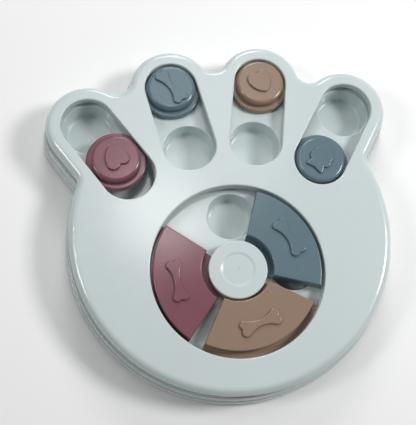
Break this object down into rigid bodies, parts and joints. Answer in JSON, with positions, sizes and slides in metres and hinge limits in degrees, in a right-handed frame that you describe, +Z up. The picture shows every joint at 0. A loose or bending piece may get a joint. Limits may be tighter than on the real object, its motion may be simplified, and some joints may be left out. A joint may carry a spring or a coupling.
{
  "type": "slow feeder",
  "caption": "Paw-shaped pet slow feeder: a shallow case with round treat cups under sliding toe covers and turning ring sectors that a pet pushes aside.",
  "frame": {"origin": "middle of the outline's box, on the surface that the rubber feet stand on", "axes": "+Z up out of the cups, +Y from the pad to the toes, +X to the right as seen from above"},
  "size_m": [0.2682, 0.2712, 0.0342],
  "materials": {
    "case_plastic": "glossy moulded, pale mint grey",
    "pink_plastic": "satin moulded, dusty pink",
    "slate_plastic": "satin moulded, slate blue",
    "taupe_plastic": "satin moulded, taupe",
    "foot_rubber": "matte grey",
    "screw_steel": "zinc plated"
  },
  "bodies": {
    "case": {"cover": "case_plastic", "tray_skirt": "case_plastic", "tray_floor": "case_plastic", "cup_outer_left_near": "case_plastic", "cup_outer_left_far": "case_plastic", "cup_inner_left_near": "case_plastic", "cup_inner_left_far": "case_plastic", "cup_inner_right_near": "case_plastic", "cup_inner_right_far": "case_plastic", "cup_outer_right_near": "case_plastic", "cup_outer_right_far": "case_plastic", "cup_ring_right": "case_plastic", "cup_ring_back": "case_plastic", "cup_ring_left": "case_plastic", "cup_ring_front": "case_plastic", "hub_post": "case_plastic", "foot_posts": "case_plastic", "hub_cap": "case_plastic", "hub_screw": "screw_steel", "case_screws": "screw_steel", "foot_front_right": "foot_rubber", "foot_side_right": "foot_rubber", "foot_toe_right": "foot_rubber", "foot_front_left": "foot_rubber", "foot_side_left": "foot_rubber", "foot_toe_left": "foot_rubber"},
    "knob_outer_left": {"knob_outer_left": "pink_plastic"},
    "knob_inner_left": {"knob_inner_left": "slate_plastic"},
    "knob_inner_right": {"knob_inner_right": "taupe_plastic"},
    "knob_outer_right": {"knob_outer_right": "slate_plastic"},
    "sector_left": {"sector_left": "pink_plastic"},
    "sector_front": {"sector_front": "taupe_plastic"},
    "sector_right": {"sector_right": "slate_plastic"}
  },
  "joints": [
    {"name": "slide_outer_left", "type": "slide", "parent": "case", "child": "knob_outer_left", "axis": [-0.5448, 0.8386, 0], "range_m": [-0.0145, 0.0339]},
    {"name": "slide_inner_left", "type": "slide", "parent": "case", "child": "knob_inner_left", "axis": [-0.1909, 0.9816, 0], "range_m": [-0.0485, 0]},
    {"name": "slide_inner_right", "type": "slide", "parent": "case", "child": "knob_inner_right", "axis": [0.1909, 0.9816, 0], "range_m": [-0.0485, 0]},
    {"name": "slide_outer_right", "type": "slide", "parent": "case", "child": "knob_outer_right", "axis": [0.5448, 0.8386, 0], "range_m": [0, 0.0485]},
    {"name": "turn_left", "type": "hinge", "parent": "case", "child": "sector_left", "pos_m": [0, -0.0442, 0.0215], "axis": [0, 0, 1], "range_deg": [-68, 7.5]},
    {"name": "turn_front", "type": "hinge", "parent": "case", "child": "sector_front", "pos_m": [0, -0.0442, 0.0215], "axis": [0, 0, 1], "range_deg": [-7.5, 10]},
    {"name": "turn_right", "type": "hinge", "parent": "case", "child": "sector_right", "pos_m": [0, -0.0442, 0.0215], "axis": [0, 0, 1], "range_deg": [-10, 68]}
  ]
}
